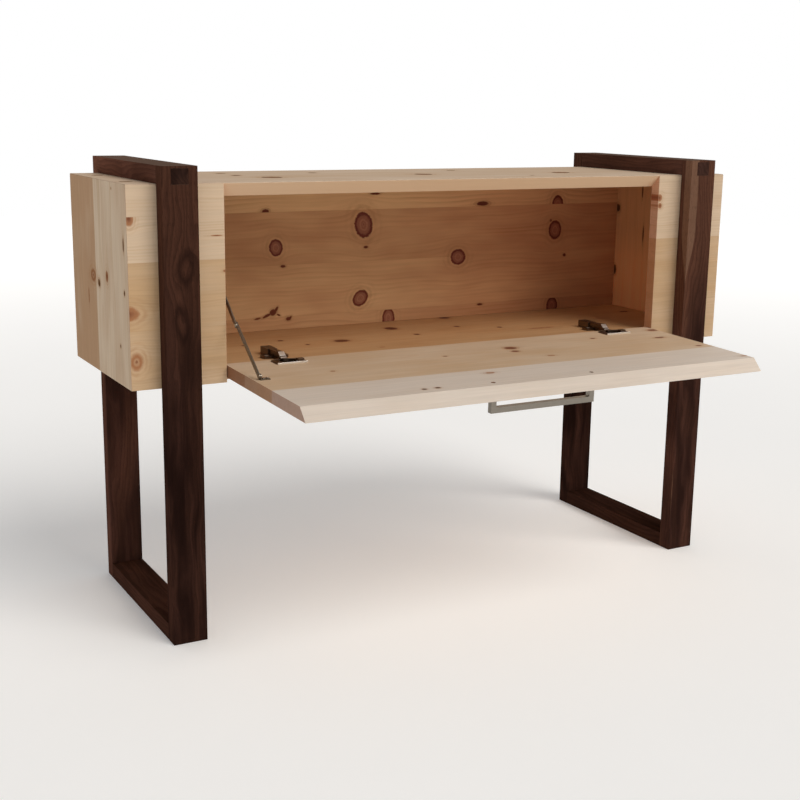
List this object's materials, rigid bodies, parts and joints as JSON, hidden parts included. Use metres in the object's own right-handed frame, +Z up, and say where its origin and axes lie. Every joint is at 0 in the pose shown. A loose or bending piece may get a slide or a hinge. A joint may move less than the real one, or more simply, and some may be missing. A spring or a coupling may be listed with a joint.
{
  "type": "sideboard",
  "caption": "Pine sideboard case held between dark loop frames, with a drop-down front flap on cup hinges and a folding stay.",
  "frame": {"origin": "on the ground, midway between the two loop frames and midway between their front and rear faces", "axes": "+X along the case to the right as seen from the front, +Y from the front to the back, +Z up"},
  "size_m": [1.35, 0.7363, 0.877],
  "materials": {
    "walnut": "oiled dark walnut",
    "pine_case": "soaped knotty pine",
    "pine_flap": "soaped knotty pine",
    "nickel": "brushed nickel",
    "screw_steel": "plain steel"
  },
  "bodies": {
    "case": {"left_front_post": "walnut", "left_rear_post": "walnut", "left_top_rail": "walnut", "left_bottom_rail": "walnut", "right_front_post": "walnut", "right_rear_post": "walnut", "right_top_rail": "walnut", "right_bottom_rail": "walnut", "case_top": "pine_case", "case_floor": "pine_case", "case_back": "pine_case", "left_end": "pine_case", "right_end": "pine_case", "left_front_panel": "pine_case", "right_front_panel": "pine_case", "left_hinge_arm": "nickel", "left_hinge_plate": "nickel", "left_plate_screws": "screw_steel", "left_arm_screws": "screw_steel", "right_hinge_arm": "nickel", "right_hinge_plate": "nickel", "right_plate_screws": "screw_steel", "right_arm_screws": "screw_steel", "stay_wall_bracket": "nickel", "stay_wall_screws": "screw_steel", "stay_wall_rivet": "screw_steel"},
    "flap": {"flap_rear_board": "pine_flap", "flap_middle_board": "pine_flap", "flap_front_board": "pine_flap", "handle": "nickel", "handle_screws": "screw_steel", "left_hinge_cup": "nickel", "left_cup_screws": "screw_steel", "left_hinge_pin": "screw_steel", "right_hinge_cup": "nickel", "right_cup_screws": "screw_steel", "right_hinge_pin": "screw_steel", "stay_flap_bracket": "nickel", "stay_flap_screws": "screw_steel", "stay_flap_rivet": "screw_steel"},
    "upper_arm": {"stay_upper_arm": "nickel", "stay_knuckle_rivet": "screw_steel"},
    "lower_arm": {"stay_lower_arm": "nickel"}
  },
  "joints": [
    {"name": "flap_hinge", "type": "hinge", "parent": "case", "child": "flap", "pos_m": [0.004, -0.17537, 0.49583], "axis": [-1, 0, 0], "range_deg": [0, 91.5]},
    {"name": "stay_upper_pivot", "type": "hinge", "parent": "case", "child": "upper_arm", "pos_m": [-0.4859, -0.15, 0.638], "axis": [-1, 0, 0], "range_deg": [0, 143.51]},
    {"name": "stay_lower_pivot", "type": "hinge", "parent": "flap", "child": "lower_arm", "pos_m": [-0.4834, -0.30512, 0.51631], "axis": [1, 0, 0], "range_deg": [0, 136.01]}
  ],
  "couplings": [
    {"joint": "stay_upper_pivot", "follows": "flap_hinge", "ratio": 1.5683},
    {"joint": "stay_lower_pivot", "follows": "flap_hinge", "ratio": 1.4863}
  ]
}
